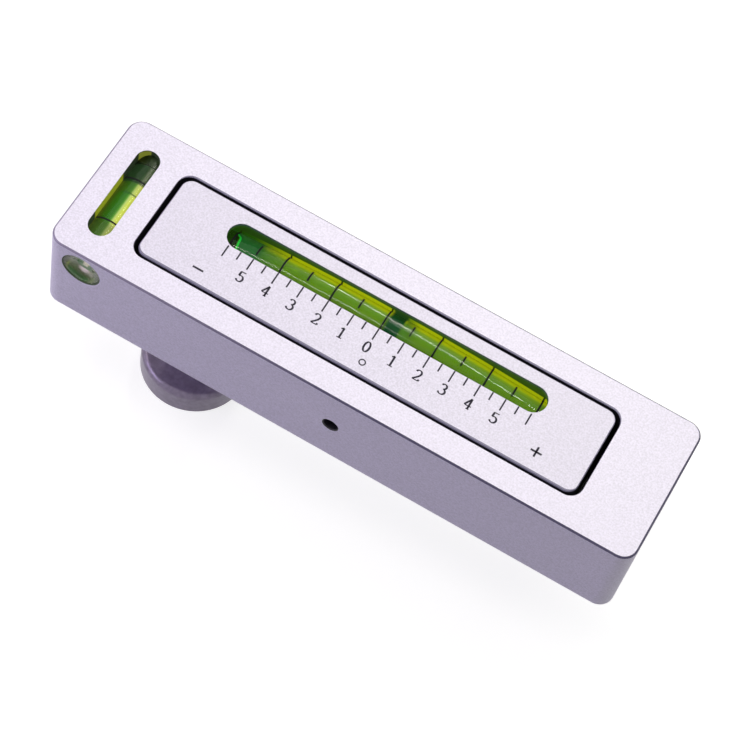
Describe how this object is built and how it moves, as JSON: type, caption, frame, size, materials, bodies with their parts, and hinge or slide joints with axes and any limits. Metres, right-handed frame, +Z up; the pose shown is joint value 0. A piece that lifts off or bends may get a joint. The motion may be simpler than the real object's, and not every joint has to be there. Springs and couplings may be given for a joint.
{
  "type": "camber caster gauge",
  "caption": "Rectangular bar with a curved bubble vial in a rocking scale block, a cross vial, and a magnet foot on a ball joint.",
  "frame": {"origin": "on the magnet's contact face, under the middle of the bar's plan", "axes": "+X along the bar to the positive end of the camber scale, +Y to the back, +Z up out of the scale face"},
  "size_m": [0.14, 0.0364, 0.0553],
  "materials": {
    "bar_aluminium": "bead-blasted, clear anodised",
    "pin_steel": "blackened spring steel",
    "vial_glass": "clear, polished",
    "vial_fluid": "clear yellow-green spirit",
    "bubble": "air bubble",
    "stopper": "moulded",
    "resin": "cast",
    "foot_steel": "turned, nickel plated",
    "seat_nylon": "moulded nylon",
    "cup_nickel": "pressed steel, satin nickel plated",
    "magnet": "nickel plated",
    "potting": "cast epoxy"
  },
  "bodies": {
    "bar": {"body_bar": "bar_aluminium", "pivot_pin": "pin_steel", "cross_tube": "vial_glass", "cross_fluid": "vial_fluid", "cross_stopper": "stopper", "ball_stud": "foot_steel", "lock_nut": "foot_steel"},
    "scale": {"scale_block": "bar_aluminium", "camber_tube": "vial_glass", "camber_fluid": "vial_fluid", "camber_stopper_left": "stopper", "camber_stopper_right": "stopper", "vial_bed_left": "resin", "vial_bed_right": "resin"},
    "camber_air": {"camber_bubble": "bubble"},
    "cross_air": {"cross_bubble": "bubble"},
    "left_screw": {"calibration_screw_left": "pin_steel"},
    "right_screw": {"calibration_screw_right": "pin_steel"},
    "seat": {"ball_seat": "seat_nylon"},
    "foot": {"socket_base": "foot_steel", "socket_cap": "foot_steel", "magnet_cup": "cup_nickel", "magnet_ring": "magnet", "potting_ring": "potting", "foot_screw": "foot_steel"}
  },
  "joints": [
    {"name": "scale_rock", "type": "hinge", "parent": "bar", "child": "scale", "pos_m": [0.0007, 0, 0.0433], "axis": [0, 1, 0], "range_deg": [-1.2, 1.2]},
    {"name": "left_screw_travel", "type": "slide", "parent": "bar", "child": "left_screw", "axis": [0, 0, 1], "range_m": [-0.00046, 0.00046]},
    {"name": "right_screw_travel", "type": "slide", "parent": "bar", "child": "right_screw", "axis": [0, 0, 1], "range_m": [-0.00046, 0.00046]},
    {"name": "camber_bubble_travel", "type": "hinge", "parent": "scale", "child": "camber_air", "pos_m": [0, 0.0045, -0.29782], "axis": [0, 1, 0], "range_deg": [0, 13.03]},
    {"name": "cross_bubble_travel", "type": "slide", "parent": "bar", "child": "cross_air", "axis": [0, 1, 0], "range_m": [-0.0079, 0.0079]},
    {"name": "foot_swivel", "type": "hinge", "parent": "bar", "child": "seat", "pos_m": [-0.04, 0, 0.01675], "axis": [0, 0, 1], "continuous": true},
    {"name": "foot_tilt", "type": "hinge", "parent": "seat", "child": "foot", "pos_m": [-0.04, 0, 0.01675], "axis": [0, 1, 0], "range_deg": [-15, 15]}
  ],
  "couplings": [
    {"joint": "left_screw_travel", "follows": "scale_rock", "m_per_rad": 0.021},
    {"joint": "right_screw_travel", "follows": "scale_rock", "m_per_rad": -0.021}
  ]
}
